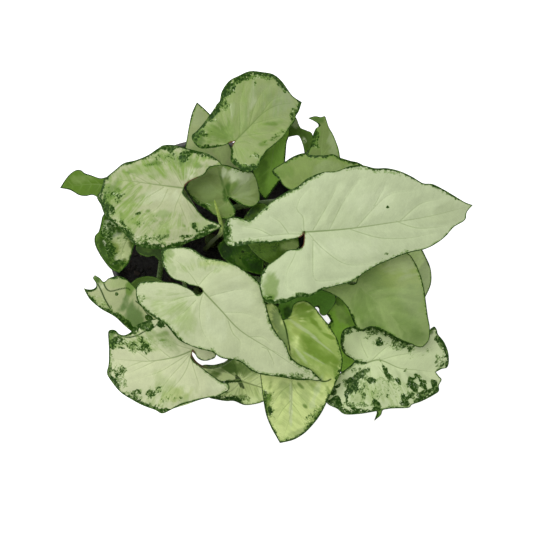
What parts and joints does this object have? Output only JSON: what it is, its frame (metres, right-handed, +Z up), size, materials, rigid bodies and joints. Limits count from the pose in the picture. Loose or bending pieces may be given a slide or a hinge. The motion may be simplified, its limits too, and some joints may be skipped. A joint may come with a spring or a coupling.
{
  "type": "arrowhead plant in a nursery pot",
  "caption": "Bushy variegated foliage plant with arrow-shaped leaves on long stalks, standing in a round black plastic pot filled with soil.",
  "frame": {"origin": "centre of the pot's base, on the surface the pot stands on", "axes": "+Z up along the pot's axis; +X towards the tip of the largest leaf; +Y towards the back of the plant"},
  "size_m": [0.2176, 0.1972, 0.2289],
  "materials": {
    "pot_plastic": "fine matt black moulded polypropylene",
    "potting_mix": "moist dark potting mix with bark crumbs and pale grains",
    "stem_green": "satin green stem with leaf-scar rings",
    "stalk_green": "satin green leaf stalk, reddish brown at the neck",
    "sprout_green": "satin yellow-green rolled leaf",
    "leaf_pale": "satin pale green blade with dark green mottled margin",
    "leaf_green": "satin plain green blade",
    "leaf_dark": "satin dark green blade"
  },
  "bodies": {
    "root": {"pot": "pot_plastic", "soil": "potting_mix", "stem_left": "stem_green", "stem_front": "stem_green", "stem_right": "stem_green", "stem_back": "stem_green", "stem_middle": "stem_green", "sprout": "sprout_green", "stalk_big_right": "stalk_green", "stalk_centre_left": "stalk_green", "stalk_upper_left": "stalk_green", "stalk_top_heart": "stalk_green", "stalk_upper_front": "stalk_green", "stalk_upper_arrow": "stalk_green", "stalk_top_left_grey": "stalk_green", "stalk_shaded_heart": "stalk_green", "stalk_top_plain": "stalk_green", "stalk_far_left_tip": "stalk_green", "stalk_left_variegated": "stalk_green", "stalk_torn_left": "stalk_green", "stalk_lower_left": "stalk_green", "stalk_low_front": "stalk_green", "stalk_front_centre": "stalk_green", "stalk_right_plain": "stalk_green", "stalk_lower_right": "stalk_green", "stalk_right_behind": "stalk_green", "stalk_small_front": "stalk_green", "stalk_dark_left": "stalk_green", "stalk_left_shaded": "stalk_green", "stalk_centre_dark": "stalk_green", "stalk_centre_right": "stalk_green", "stalk_front_tip": "stalk_green", "stalk_top_edge": "stalk_green", "stalk_front_shaded": "stalk_green", "blade_big_right": "leaf_pale", "blade_centre_left": "leaf_pale", "blade_upper_left": "leaf_pale", "blade_top_heart": "leaf_pale", "blade_upper_front": "leaf_green", "blade_upper_arrow": "leaf_green", "blade_top_left_grey": "leaf_green", "blade_shaded_heart": "leaf_pale", "blade_top_plain": "leaf_green", "blade_far_left_tip": "leaf_green", "blade_left_variegated": "leaf_pale", "blade_torn_left": "leaf_pale", "blade_lower_left": "leaf_pale", "blade_low_front": "leaf_pale", "blade_front_centre": "leaf_pale", "blade_right_plain": "leaf_green", "blade_lower_right": "leaf_pale", "blade_right_behind": "leaf_green", "blade_small_front": "leaf_green", "blade_dark_left": "leaf_dark", "blade_left_shaded": "leaf_dark", "blade_centre_dark": "leaf_dark", "blade_centre_right": "leaf_dark", "blade_front_tip": "leaf_dark", "blade_top_edge": "leaf_dark", "blade_front_shaded": "leaf_dark"}
  },
  "joints": []
}
